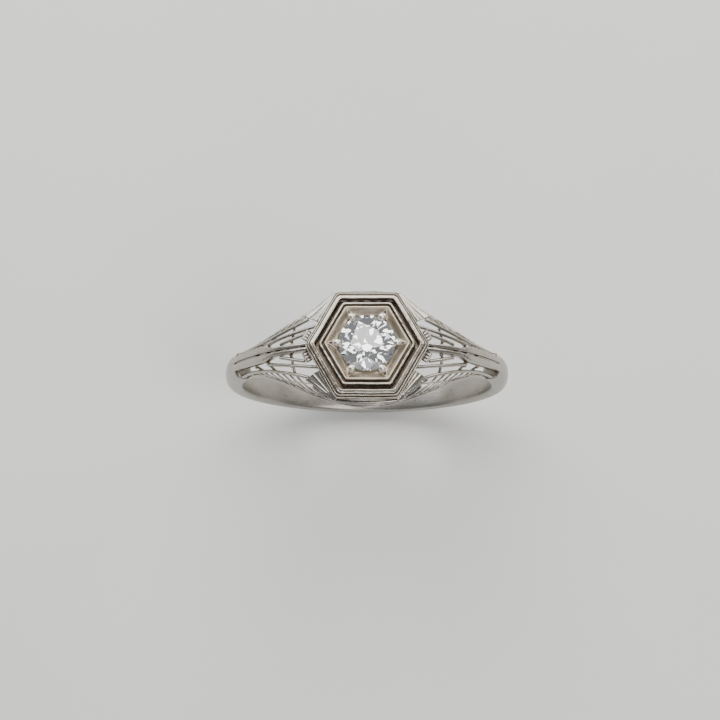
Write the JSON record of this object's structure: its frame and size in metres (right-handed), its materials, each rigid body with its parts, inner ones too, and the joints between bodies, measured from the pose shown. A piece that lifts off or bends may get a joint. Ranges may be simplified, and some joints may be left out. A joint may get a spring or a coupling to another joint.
{
  "type": "engagement ring",
  "caption": "Filigree engagement ring: a round brilliant in a raised six-sided stepped head, with pierced wire shoulders, a split rib and a plain tapered shank.",
  "frame": {"origin": "centre of the finger hole", "axes": "+Z from the finger hole up through the stone, Y along the finger, X across the ring from shoulder to shoulder"},
  "size_m": [0.0194, 0.0078, 0.0216],
  "materials": {
    "diamond": "polished",
    "bright_gold": "polished",
    "head_gold": "polished, worn, brown in the grooves",
    "filigree_gold": "satin, darkened in the recesses",
    "plain_gold": "worn, lightly scratched"
  },
  "bodies": {
    "root": {"diamond": "diamond", "prong_1": "bright_gold", "prong_2": "bright_gold", "prong_3": "bright_gold", "prong_4": "bright_gold", "prong_5": "bright_gold", "prong_6": "bright_gold", "stone_cup": "head_gold", "inner_frame": "head_gold", "outer_frame": "head_gold", "head_wall": "filigree_gold", "under_bezel": "filigree_gold", "shank": "plain_gold", "finger_rail_front": "filigree_gold", "lower_arc_front": "filigree_gold", "upper_arc_front": "filigree_gold", "finger_rail_rear": "filigree_gold", "lower_arc_rear": "filigree_gold", "upper_arc_rear": "filigree_gold", "rib_left_front": "filigree_gold", "rib_right_front": "filigree_gold", "rib_left_rear": "filigree_gold", "rib_right_rear": "filigree_gold", "edge_wire_left_front": "filigree_gold", "edge_wire_right_front": "filigree_gold", "edge_wire_left_rear": "filigree_gold", "edge_wire_right_rear": "filigree_gold", "middle_wire_left_front": "filigree_gold", "middle_wire_right_front": "filigree_gold", "middle_wire_left_rear": "filigree_gold", "middle_wire_right_rear": "filigree_gold", "inner_wire_left_front": "filigree_gold", "inner_wire_right_front": "filigree_gold", "inner_wire_left_rear": "filigree_gold", "inner_wire_right_rear": "filigree_gold", "long_bar_left_front": "filigree_gold", "long_bar_right_front": "filigree_gold", "long_bar_left_rear": "filigree_gold", "long_bar_right_rear": "filigree_gold", "middle_bar_left_front": "filigree_gold", "middle_bar_right_front": "filigree_gold", "middle_bar_left_rear": "filigree_gold", "middle_bar_right_rear": "filigree_gold", "short_bar_left_front": "filigree_gold", "short_bar_right_front": "filigree_gold", "short_bar_left_rear": "filigree_gold", "short_bar_right_rear": "filigree_gold", "side_gallery_left_front": "filigree_gold", "side_gallery_right_front": "filigree_gold", "side_gallery_left_rear": "filigree_gold", "side_gallery_right_rear": "filigree_gold", "shoulder_plate_left_front": "filigree_gold", "shoulder_plate_right_front": "filigree_gold", "shoulder_plate_left_rear": "filigree_gold", "shoulder_plate_right_rear": "filigree_gold", "corner_bracket_left_front": "filigree_gold", "corner_bracket_right_front": "filigree_gold", "corner_bracket_left_rear": "filigree_gold", "corner_bracket_right_rear": "filigree_gold"}
  },
  "joints": []
}
